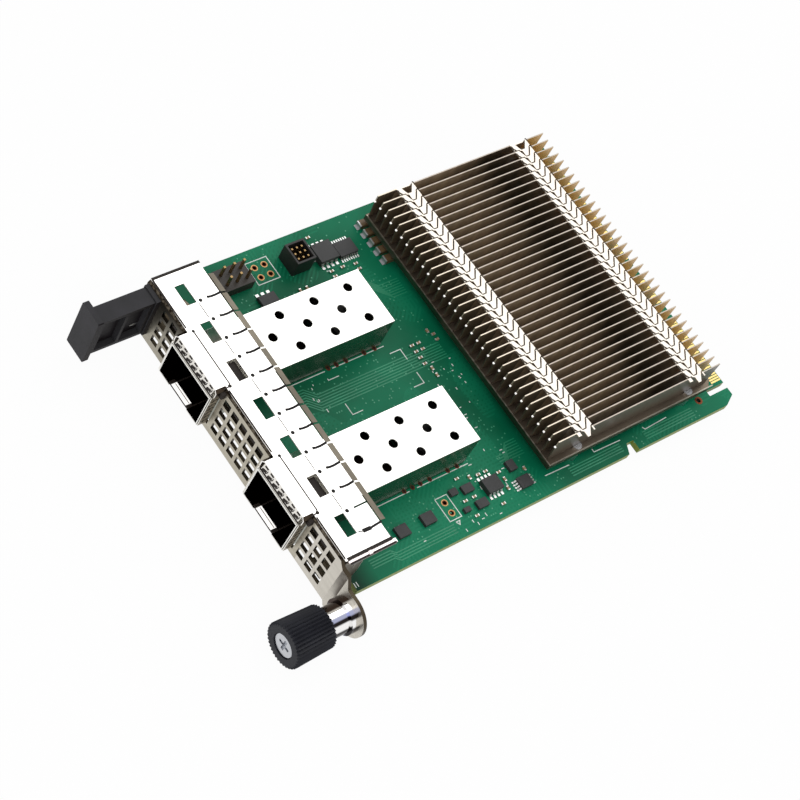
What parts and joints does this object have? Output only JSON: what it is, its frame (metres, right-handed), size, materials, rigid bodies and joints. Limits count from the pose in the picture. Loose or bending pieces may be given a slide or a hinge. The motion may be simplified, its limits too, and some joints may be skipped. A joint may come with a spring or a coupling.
{
  "type": "mezzanine network card",
  "caption": "Mezzanine network card with pluggable transceiver cages, a vented bracket, a captive thumbscrew, a pull tab and a low finned heatsink.",
  "frame": {"origin": "bottom centre of the bounding box of the whole card", "axes": "+Y from the bracket to the contact edge, +Z out of the component side, +X towards the thumbscrew"},
  "size_m": [0.0844, 0.1302, 0.0161],
  "materials": {
    "solder_mask": "glossy green solder mask over glass-epoxy board",
    "gold": "gold plating",
    "nickel_bracket": "satin nickel-plated folded steel",
    "nickel_shield": "bright nickel-plated spring sheet",
    "cage_metal": "bright nickel-plated folded sheet",
    "fin_metal": "nickel-plated stamped sheet",
    "screw_steel": "zinc-plated steel",
    "chrome": "polished chrome",
    "black_plastic": "moulded black plastic, satin",
    "black_resin": "moulded epoxy, matte",
    "spring_steel": "drawn spring wire",
    "tin": "tin plating",
    "ceramic": "fired ceramic body with tinned ends",
    "lid": "nickel-plated lid",
    "pad_grey": "soft thermal pad",
    "insulator_film": "black insulating film",
    "nylon": "moulded nylon"
  },
  "bodies": {
    "root": {"circuit_board": "solder_mask", "edge_contacts_top": "gold", "edge_contacts_bottom": "gold", "faceplate": "nickel_bracket", "bracket_screws": "screw_steel", "top_shield_fingers": "nickel_shield", "side_shield_clip": "nickel_shield", "transceiver_cage_left": "cage_metal", "transceiver_cage_right": "cage_metal", "cage_gasket_left": "nickel_shield", "cage_gasket_right": "nickel_shield", "host_connector_left": "black_resin", "host_connector_right": "black_resin", "host_contacts_left": "gold", "host_contacts_right": "gold", "pull_tab": "black_plastic", "pull_tab_screws": "screw_steel", "thumbscrew_sleeve": "chrome", "heatsink_base": "fin_metal", "heatsink_fins": "fin_metal", "heatsink_posts": "screw_steel", "heatsink_screws": "screw_steel", "network_processor": "lid", "thermal_pad": "pad_grey", "header_block": "black_resin", "header_pins": "gold", "box_connector": "black_resin", "box_connector_pins": "gold", "memory_chip": "black_resin", "interface_chip": "black_resin", "clock_chip": "black_resin", "power_chip": "black_resin", "monitor_chip": "black_resin", "front_regulator": "black_resin", "rear_regulator": "black_resin", "chip_leads": "tin", "small_chips": "black_resin", "ceramic_capacitors": "ceramic", "small_parts": "ceramic", "bottom_insulator": "insulator_film", "insulator_spacers": "nylon", "insulator_rivets": "nylon"},
    "spring_carrier": {"thumbscrew_spring": "spring_steel"},
    "thumbscrew": {"thumbscrew_knob": "black_plastic", "thumbscrew_screw": "screw_steel"}
  },
  "joints": [
    {"name": "thumbscrew_slide", "type": "slide", "parent": "root", "child": "spring_carrier", "axis": [0, 1, 0], "range_m": [0, 0.0042], "stiffness_N_per_m": 300, "springref_m": -0.003, "deforming": ["thumbscrew_spring"]},
    {"name": "thumbscrew_spin", "type": "hinge", "parent": "spring_carrier", "child": "thumbscrew", "pos_m": [0.0371, -0.0501, 0.0051], "axis": [0, 1, 0], "continuous": true}
  ]
}
